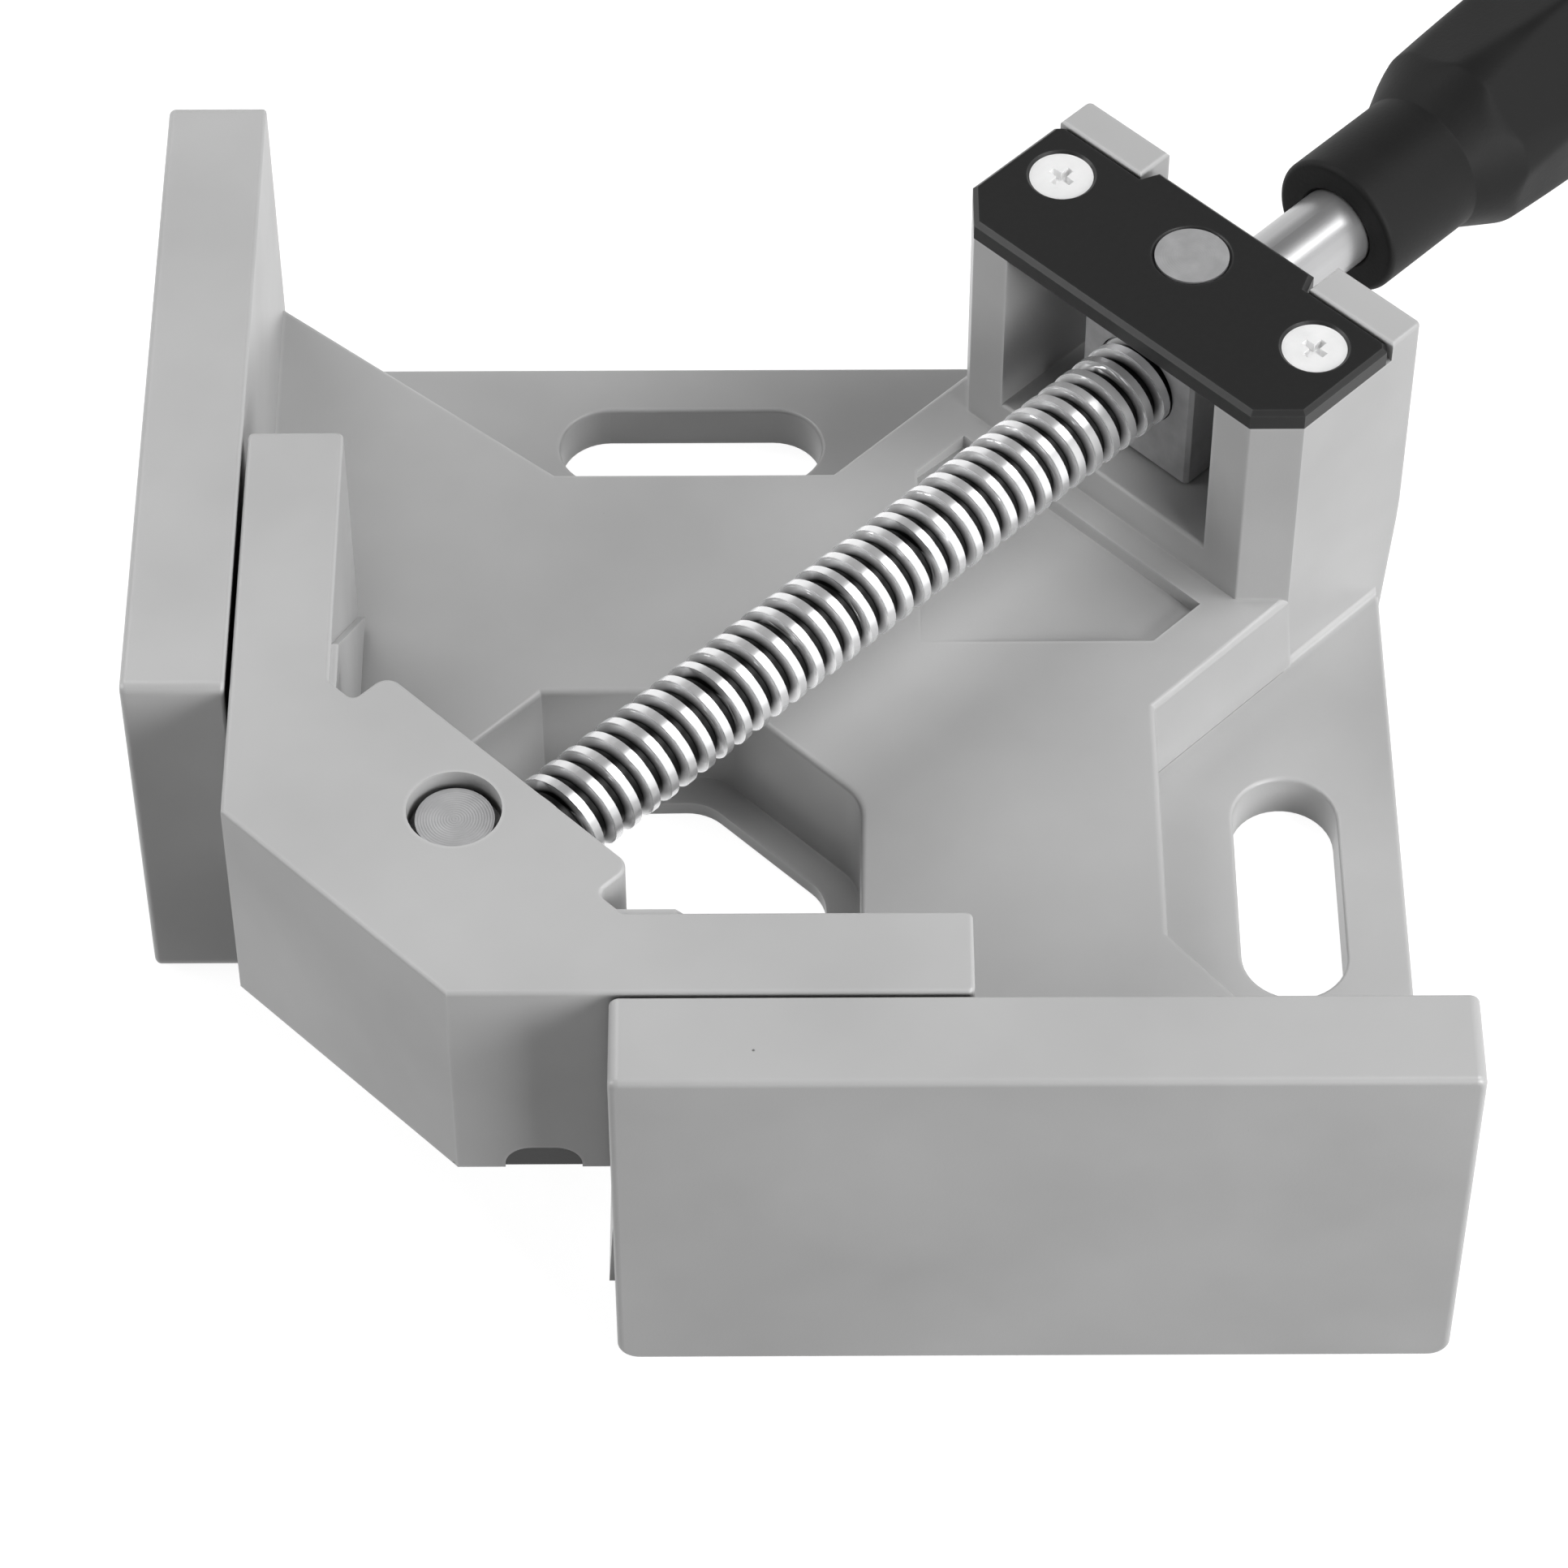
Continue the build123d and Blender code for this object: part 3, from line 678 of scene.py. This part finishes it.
@dataclass(frozen=True)
class MouldedPlastic:
    """Black polypropylene, moulded in a spark-eroded mould.

    To the eye: soft black, matt, with a broad faint gleam and a fine leathery grain.
    """

    name: str = Slot.PLASTIC.value
    colour: str = "#101010"
    scuffed: str = "#181818"
    roughness: float = 0.60
    roughness_swing: float = 0.10
    sheen: float = 0.25
    grain_mm: float = 0.55
    grain_depth_mm: float = 0.02
    scuff_mm: float = 11.0
    scuff_start: float = 0.42
    scuff_full: float = 0.75

    def material(self) -> bpy.types.Material:
        """Build the material.

        Returns:
            The finished material.
        """
        material, tree, place = new_material(self.name)
        scuffs = add_node(
            tree,
            "ShaderNodeTexNoise",
            {"Vector": place, "Scale": per_metre(self.scuff_mm), "Detail": 6.0, "Roughness": 0.6},
        ).outputs["Fac"]
        share = add_node(
            tree,
            "ShaderNodeMapRange",
            {"Value": scuffs, "From Min": self.scuff_start, "From Max": self.scuff_full},
        ).outputs["Result"]
        tint = add_node(
            tree,
            "ShaderNodeMix",
            {MIX_FACTOR: share, MIX_A: linear(self.colour), MIX_B: linear(self.scuffed)},
            data_type="RGBA",
        )
        dullness = add_node(
            tree,
            "ShaderNodeMapRange",
            {
                "Value": scuffs,
                "From Min": NOISE_LOW,
                "From Max": NOISE_HIGH,
                "To Min": self.roughness - self.roughness_swing / 2,
                "To Max": self.roughness + self.roughness_swing / 2,
            },
        )
        grain = add_node(
            tree,
            "ShaderNodeTexNoise",
            {"Vector": place, "Scale": per_metre(self.grain_mm), "Detail": 2.0},
        ).outputs["Fac"]
        bump = add_node(
            tree,
            "ShaderNodeBump",
            {"Height": grain, "Distance": self.grain_depth_mm * MM, "Strength": 1.0},
        )
        shader = add_node(
            tree,
            "ShaderNodeBsdfPrincipled",
            {
                "Base Color": tint.outputs[MIX_COLOUR],
                "Roughness": dullness.outputs["Result"],
                "Specular IOR Level": self.sheen,
                "Normal": bump.outputs["Normal"],
            },
        )
        close_material(tree, shader)
        return material


def dress(node: str, material: bpy.types.Material) -> None:
    """Give a CAD node its finish.

    Args:
        node: The node's name.
        material: Its finish.
    """
    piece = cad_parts[node]
    piece.data.materials.clear()
    piece.data.materials.append(material)
    log.info("%s wears %s", node, material.name)


def middle_x(node: str) -> float:
    """Find X of the middle of a node."""
    low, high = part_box(node)
    return (low.x + high.x) / 2


def rounded(corners: list[tuple[float, float, float]], steps: int = 8) -> list[Vector]:
    """Round the corners of an open profile with true arcs.

    Args:
        corners: The corners along the profile: place, radius from the axis, rounding.
        steps: How many pieces an arc has.

    Returns:
        The points of the rounded profile.
    """
    points = [Vector(corners[0][:2])]
    for before, corner, after in zip(corners, corners[1:], corners[2:]):
        here = Vector(corner[:2])
        back = (Vector(before[:2]) - here).normalized()
        ahead = (Vector(after[:2]) - here).normalized()
        half_turn = (math.pi - back.angle(ahead)) / 2
        reach = corner[2] * math.tan(half_turn)
        if reach == 0:
            points.append(here)
            continue
        start = here + back * reach
        end = here + ahead * reach
        centre = here + (back + ahead).normalized() * (corner[2] / math.cos(half_turn))
        for step in range(steps + 1):
            share = math.sin((1 - step / steps) * 2 * half_turn), math.sin(step / steps * 2 * half_turn)
            arm = (start - centre) * share[0] + (end - centre) * share[1]
            points.append(centre + arm / math.sin(2 * half_turn))
    points.append(Vector(corners[-1][:2]))
    return points


def divided(points: list[Vector], longest: float) -> list[Vector]:
    """Divide the long stretches of a profile.

    Args:
        points: The profile.
        longest: The longest stretch that may stay.

    Returns:
        The profile with points added.
    """
    result = [points[0]]
    for start, end in zip(points, points[1:]):
        count = max(1, math.ceil((end - start).length / longest))
        result.extend(start.lerp(end, step / count) for step in range(1, count + 1))
    return result


def add_piece(name: str, rings: list[list[Vector]], material: bpy.types.Material) -> bpy.types.Object:
    """Skin a row of closed rings, close both ends, and put the piece in the scene.

    Args:
        name: The piece's name.
        rings: The rings, each with the same number of points.
        material: The piece's finish.

    Returns:
        The piece.
    """
    mesh = bmesh.new()
    skins = [[mesh.verts.new(point) for point in ring] for ring in rings]
    count = len(skins[0])
    for near, far in zip(skins, skins[1:]):
        for place in range(count):
            following = (place + 1) % count
            mesh.faces.new((near[place], near[following], far[following], far[place]))
    mesh.faces.new(skins[0])
    mesh.faces.new(skins[-1])
    bmesh.ops.recalc_face_normals(mesh, faces=mesh.faces)
    data = bpy.data.meshes.new(name)
    mesh.to_mesh(data)
    mesh.free()
    data.materials.append(material)
    piece = bpy.data.objects.new(name, data)
    bpy.context.scene.collection.objects.link(piece)
    log.info("%s has %d faces", name, len(data.polygons))
    return piece


@dataclass
class MouldedGrip:
    """The black grip: a collar, a shoulder, and a barrel with six flats whose edges are moulded soft."""

    collar_mm: float = 9.4
    collar_length_mm: float = 16.0
    mouth_round_mm: float = 0.8
    neck_round_mm: float = 0.8
    shoulder_length_mm: float = 6.5
    shoulder_round_mm: float = 2.0
    swell_mm: float = 1.6
    swell_end_mm: float = 65.0
    swell_steps: int = 12
    tail_round_mm: float = 8.5
    bore_mm: float = 5.35
    bore_depth_mm: float = 55.1
    bore_lip_mm: float = 0.4
    flat_distance_mm: float = 11.9
    flat_start_mm: float = 20.5
    flat_end_margin_mm: float = 11.0
    flat_run_out_mm: float = 0.9
    flat_count: int = 6
    flat_turn_degrees: float = 9.0
    softness_mm: float = 0.16
    gate_mm: float = 1.9
    gate_depth_mm: float = 0.35
    gate_middle_mm: float = 0.3
    longest_step_mm: float = 0.7
    sides: int = 180
    sharp_degrees: float = 40.0
    flat_facing: float = 0.5  # cosine of the widest angle at which a flat still counts

    def build(self, material: bpy.types.Material) -> None:
        """Build the grip in place of its CAD solid.

        Args:
            material: Its finish.
        """
        low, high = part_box("handle_grip")
        length = (high.x - low.x) / MM
        barrel = (high.z - low.z) / 2 / MM
        height = (high.z + low.z) / 2
        rings = []
        for point in self.profile(length, barrel):
            ring = []
            for side in range(self.sides):
                angle = 2 * math.pi * side / self.sides
                radius = self.flattened(point.x, point.y, angle, length) * MM
                across = math.sin(angle) * radius
                up = math.cos(angle) * radius
                ring.append(Vector((low.x + point.x * MM, across, height + up)))
            rings.append(ring)
        piece = add_piece("moulded_grip", rings, material)
        piece.data.shade_smooth()
        piece.data.set_sharp_from_angle(angle=math.radians(self.sharp_degrees))
        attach(piece, "screw")
        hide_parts("handle_grip")

    def profile(self, length: float, barrel: float) -> list[Vector]:
        """Draw the grip's profile, from the end of its bore round to the middle of its tail.

        Args:
            length: The grip's length in millimetres.
            barrel: The barrel's radius at the tail in millimetres.

        Returns:
            Points of place and radius, in millimetres.
        """
        shoulder = self.collar_length_mm + self.shoulder_length_mm
        run = self.swell_end_mm - shoulder
        swell_radius = (run**2 + self.swell_mm**2) / (2 * self.swell_mm)
        swelling = []
        for step in range(1, self.swell_steps + 1):
            left = run * (1 - step / self.swell_steps)
            sunk = swell_radius - math.sqrt(swell_radius**2 - left**2)
            swelling.append((self.swell_end_mm - left, barrel - sunk, 0.0))
        corners = [
            (self.bore_depth_mm, self.bore_mm, 0.0),
            (self.bore_lip_mm, self.bore_mm, 0.0),
            (0.0, self.bore_mm + self.bore_lip_mm, 0.0),
            (0.0, self.collar_mm, self.mouth_round_mm),
            (self.collar_length_mm, self.collar_mm, self.neck_round_mm),
            (shoulder, barrel - self.swell_mm, self.shoulder_round_mm),
            *swelling,
            (length, barrel, self.tail_round_mm),
            (length, self.gate_mm + self.gate_depth_mm, 0.0),
            (length - self.gate_depth_mm, self.gate_mm, 0.0),
            (length - self.gate_depth_mm, self.gate_middle_mm, 0.0),
        ]
        return divided(rounded(corners), self.longest_step_mm)

    def flattened(self, place: float, radius: float, angle: float, length: float) -> float:
        """Press the six flats into the barrel, with a soft edge between them.

        Args:
            place: How far the point is from the mouth.
            radius: The barrel's radius there.
            angle: The point's angle round the axis.
            length: The grip's length.

        Returns:
            The radius with the flats.
        """
        if radius <= self.collar_mm:
            return radius
        inside = min(place - self.flat_start_mm, length - self.flat_end_margin_mm - place)
        share = min(1.0, max(0.0, inside / self.flat_run_out_mm))
        if share == 0:
            return radius
        pressed = math.exp(-radius / self.softness_mm)
        unpressed = 1 - share * share * (3 - 2 * share)
        flat = self.flat_distance_mm + unpressed * (radius - self.flat_distance_mm)
        for number in range(self.flat_count):
            centre = math.radians(90 - self.flat_turn_degrees) - number * 2 * math.pi / self.flat_count
            facing = math.cos(angle - centre)
            if facing > self.flat_facing:
                pressed += math.exp(-flat / facing / self.softness_mm)
        return -self.softness_mm * math.log(pressed)


@dataclass
class PostFeet:
    """The rounded inner corners where the two flanges run into the screw post's sides.

    The CAD solid has a slit 0.8 mm wide there, which the real casting hasn't, and they cover it.
    """

    side_mm: float = 27.2
    flange_mm: float = 28.0
    flange_top_mm: float = 6.1
    front_mm: float = 25.0
    back_mm: float = 42.4
    overlap_mm: float = 0.2
    sole_gap_mm: float = 0.05
    steps: int = 6

    def build(self, material: bpy.types.Material) -> None:
        """Build one corner on each side of the post.

        Args:
            material: The castings' finish.
        """
        for name, side in (("post_foot_right", -1), ("post_foot_left", 1)):
            self.build_one(name, side, material)

    def build_one(self, name: str, side: int, material: bpy.types.Material) -> None:
        """Build one corner as a strip with a hollow round along its top.

        Args:
            name: The piece's name.
            side: 1 on the left of the screw, and -1 on the right.
            material: The castings' finish.
        """
        front = []
        back = []
        for across, up in self.section():
            slant = self.flange_mm - across
            front.append(Vector((self.front_mm, side * across, up)) * MM)
            back.append(Vector((self.back_mm + slant, side * across, up)) * MM)
        piece = add_piece(name, [front, back], material)
        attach(piece, "base")

    def section(self) -> list[tuple[float, float]]:
        """Draw the corner's section.

        Returns:
            Its points, across and up, in millimetres.
        """
        radius = self.flange_mm - self.side_mm
        inside = self.side_mm - self.overlap_mm
        points = [(inside, self.sole_gap_mm), (self.flange_mm, self.sole_gap_mm)]
        for step in range(self.steps + 1):
            angle = math.radians(90 * step / self.steps)
            across = self.flange_mm - radius * math.sin(angle)
            up = self.flange_top_mm + radius * (1 - math.cos(angle))
            points.append((across, up))
        points.append((inside, self.flange_top_mm + radius))
        return points


@dataclass
class Castings:
    """The cast body with its fixed jaws and screw post, and the cast moving jaw."""

    finish: CastAluminium = CastAluminium()

    def build(self) -> None:
        """Dress both castings in the same finish, and add the corners at the post's foot."""
        material = self.finish.material()
        dress("body_casting", material)
        dress("moving_jaw", material)
        PostFeet().build(material)


@dataclass
class Plates:
    """The black plates: the cover of the screw post, and the sole of the moving jaw."""

    finish: BlackCoatedSteel = BlackCoatedSteel()

    def build(self) -> None:
        """Dress both plates in the same finish."""
        material = self.finish.material()
        dress("post_cover_plate", material)
        dress("jaw_bottom_plate", material)


@dataclass
class Fasteners:
    """The countersunk cross-head screws of both plates."""

    colour: str = "#FAFAFA"
    metallic: float = 0.12
    roughness: float = 0.40
    stain_swing: float = 0.04
    cover_screw_side: float = 20.7 * MM

    def build(self) -> None:
        """Dress the screws in bright zinc, with faint rings round each head."""
        zinc = TurnedSteel(
            name=Slot.ZINC.value,
            axis_x=middle_x("cover_plate_screws"),
            axis_y=self.cover_screw_side,
            colour=self.colour,
            metallic=self.metallic,
            roughness=self.roughness,
            stain_swing=self.stain_swing,
        ).material()
        dress("cover_plate_screws", zinc)
        dress("bottom_plate_screws", zinc)


@dataclass
class Drive:
    """What the screw turns in and moves: screw, nut, pivot block, ring and washer."""

    thread_root_mm: float = 4.7
    thread_crest_mm: float = 5.75

    def build(self) -> None:
        """Dress the screw in bright plate and the turned pieces in bare steel."""
        low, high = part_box("lead_screw")
        plated = PlatedScrew(
            name=Slot.CHROME.value,
            axis_height=(low.z + high.z) / 2,
            root_mm=self.thread_root_mm,
            crest_mm=self.thread_crest_mm,
        ).material()
        dress("lead_screw", plated)
        for node in ("swivel_nut", "jaw_pivot_block"):
            dress(node, TurnedSteel(name=f"turned_{node}", axis_x=middle_x(node)).material())
        small = TurnedSteel(name="turned_rings", axis_x=middle_x("screw_thrust_washer")).material()
        dress("screw_retaining_ring", small)
        dress("screw_thrust_washer", small)


@dataclass(frozen=True)
class Lamp:
    """A soft square lamp that faces the clamp."""

    name: str
    place: tuple[float, float, float]
    size: float
    watts: float

    def build(self, target: Vector) -> None:
        """Hang the lamp and turn it to the target.

        Args:
            target: The point that it faces.
        """
        data = bpy.data.lights.new(self.name, "AREA")
        data.shape = "SQUARE"
        data.size = self.size
        data.energy = self.watts
        lamp = bpy.data.objects.new(self.name, data)
        bpy.context.scene.collection.objects.link(lamp)
        lamp.location = self.place
        lamp.rotation_euler = (target - Vector(self.place)).to_track_quat("-Z", "Y").to_euler()
        lamp.visible_camera = False


@dataclass
class Studio:
    """A white floor under soft lamps, and the camera at the photograph's angle."""

    floor_size: float = 12.0
    floor_drop: float = 0.0002
    floor_colour: str = "#4A4A4A"
    floor_seen_colour: str = "#949494"
    floor_seen_light: float = 0.92
    sky_colour: str = "#FFFFFF"
    sky_strength: float = 0.08
    ceiling: float = 0.05
    wall_height: float = 0.42
    ceiling_height: float = 0.62
    camera_place: tuple[float, float, float] = (-0.36267, -0.32686, 0.57052)
    camera_target: tuple[float, float, float] = (-0.03730, -0.00257, 0.01611)
    camera_roll_degrees: float = -0.151
    lens_mm: float = 137.79
    sensor_mm: float = 36.0
    lamps: tuple[Lamp, ...] = (
        Lamp("low_front", (-0.037, -0.698, 0.297), 0.35, 3.7),
        Lamp("high_right", (0.267, -0.307, 0.630), 0.35, 2.4),
        Lamp("low_left", (-0.529, 0.489, 0.297), 0.35, 2.1),
        Lamp("high_left", (-0.037, 0.428, 0.630), 0.35, 1.5),
    )

    def build(self) -> None:
        """Set up the floor, the sky, the lamps and the camera."""
        self.build_floor()
        self.build_sky()
        target = Vector(self.camera_target)
        for lamp in self.lamps:
            lamp.build(target)
        self.build_camera()
        bpy.context.scene.view_settings.view_transform = "Standard"

    def seen(self, tree: bpy.types.NodeTree) -> bpy.types.NodeSocket:
        """Tell the rays that show the background from those that light the clamp.

        Args:
            tree: The node tree.

        Returns:
            A socket that is 1 for camera, glossy and transmission rays.
        """
        path = add_node(tree, "ShaderNodeLightPath")
        mirror = add_node(
            tree,
            "ShaderNodeMath",
            {0: path.outputs["Is Camera Ray"], 1: path.outputs["Is Glossy Ray"]},
            operation="MAXIMUM",
        )
        clear = add_node(
            tree,
            "ShaderNodeMath",
            {0: mirror.outputs[0], 1: path.outputs["Is Transmission Ray"]},
            operation="MAXIMUM",
        )
        return clear.outputs[0]

    def build_floor(self) -> None:
        """Lay the floor: pale to the light, and white with a soft shadow to the camera."""
        material, tree, _ = new_material("studio_floor")
        plain = add_node(tree, "ShaderNodeBsdfDiffuse", {"Color": linear(self.floor_colour)})
        shaded = add_node(tree, "ShaderNodeBsdfDiffuse", {"Color": linear(self.floor_seen_colour)})
        glow = add_node(tree, "ShaderNodeEmission", {"Strength": self.floor_seen_light})
        white = add_node(tree, "ShaderNodeAddShader", {0: shaded.outputs[0], 1: glow.outputs[0]})
        both = add_node(
            tree,
            "ShaderNodeMixShader",
            {0: self.seen(tree), 1: plain.outputs[0], 2: white.outputs[0]},
        )
        close_material(tree, both)
        half = self.floor_size / 2
        data = bpy.data.meshes.new("studio_floor")
        corners = [(-half, -half, 0.0), (half, -half, 0.0), (half, half, 0.0), (-half, half, 0.0)]
        data.from_pydata(corners, [], [(0, 1, 2, 3)])
        data.materials.append(material)
        floor = bpy.data.objects.new("studio_floor", data)
        floor.location.z = cad_box[0].z - self.floor_drop
        bpy.context.scene.collection.objects.link(floor)

    def build_sky(self) -> None:
        """Set the white walls and the dim ceiling that the clamp mirrors, and an even fill light."""
        world = bpy.data.worlds.new("studio_sky")
        world.use_nodes = True
        tree = world.node_tree
        tree.nodes.clear()
        direction = add_node(tree, "ShaderNodeTexCoord").outputs["Generated"]
        height = add_node(tree, "ShaderNodeSeparateXYZ", {0: direction}).outputs["Z"]
        room = add_node(
            tree,
            "ShaderNodeMapRange",
            {
                "Value": height,
                "From Min": self.wall_height,
                "From Max": self.ceiling_height,
                "To Min": 1.0,
                "To Max": self.ceiling,
            },
        )
        strength = add_node(
            tree,
            "ShaderNodeMix",
            {"Factor": self.seen(tree), "A": self.sky_strength, "B": room.outputs["Result"]},
        )
        sky = add_node(
            tree,
            "ShaderNodeBackground",
            {"Color": linear(self.sky_colour), "Strength": strength.outputs["Result"]},
        )
        add_node(tree, "ShaderNodeOutputWorld", {"Surface": sky.outputs[0]})
        bpy.context.scene.world = world

    def build_camera(self) -> None:
        """Set the camera where the photograph was taken from."""
        data = bpy.data.cameras.new("photo_camera")
        data.lens = self.lens_mm
        data.sensor_width = self.sensor_mm
        data.clip_start = 0.01
        camera = bpy.data.objects.new("photo_camera", data)
        bpy.context.scene.collection.objects.link(camera)
        place = Vector(self.camera_place)
        aim = (Vector(self.camera_target) - place).to_track_quat("-Z", "Y").to_matrix().to_4x4()
        roll = Matrix.Rotation(math.radians(self.camera_roll_degrees), 4, "Z")
        camera.matrix_world = Matrix.Translation(place) @ aim @ roll
        bpy.context.scene.camera = camera


def main() -> None:
    """Build the clamp's pieces and the studio round them."""
    logging.basicConfig(level=logging.INFO, format="%(message)s")
    Castings().build()
    Plates().build()
    Fasteners().build()
    Drive().build()
    MouldedGrip().build(MouldedPlastic().material())
    Studio().build()


if __name__ == "__main__":
    main()
